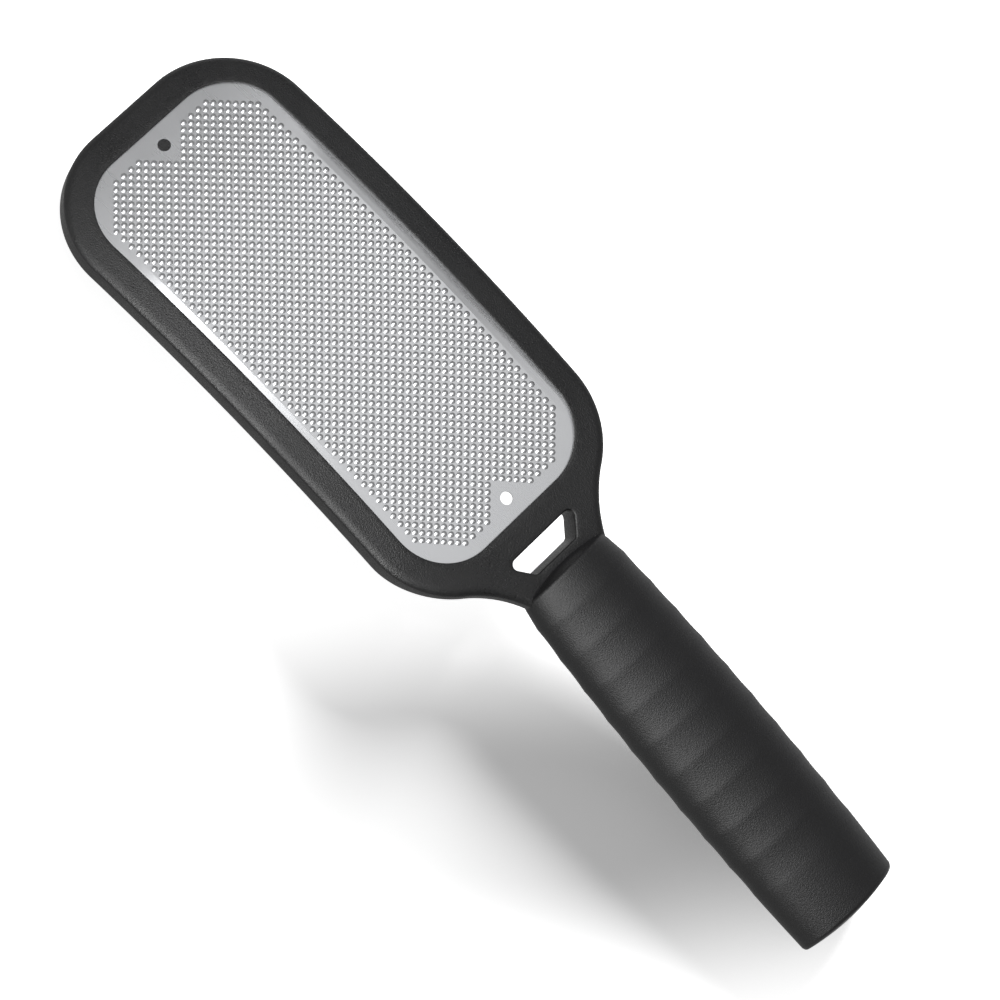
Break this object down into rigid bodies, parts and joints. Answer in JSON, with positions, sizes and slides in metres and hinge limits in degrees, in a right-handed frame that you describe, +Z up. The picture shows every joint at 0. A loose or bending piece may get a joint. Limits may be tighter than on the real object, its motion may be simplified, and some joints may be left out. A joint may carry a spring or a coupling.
{
  "type": "foot file",
  "caption": "Hand file for smoothing hard skin: an arched frame holds a toothed steel sheet, with a hanging window at the neck and a ringed oval grip.",
  "frame": {"origin": "middle of the base, on the surface that the part lies on", "axes": "+X from the frame's tip toward the grip, +Y across the frame, +Z up out of the toothed face"},
  "size_m": [0.2779, 0.0738, 0.0319],
  "materials": {
    "frame_plastic": "fine moulded texture",
    "steel": "semi-polished stainless sheet",
    "ring_plastic": "fine moulded texture",
    "grip_rubber": "soft-touch, slightly grainy"
  },
  "bodies": {
    "root": {"head_frame": "frame_plastic", "rasp_sheet": "steel", "retaining_ring": "ring_plastic", "grip_sleeve": "grip_rubber"}
  },
  "joints": []
}
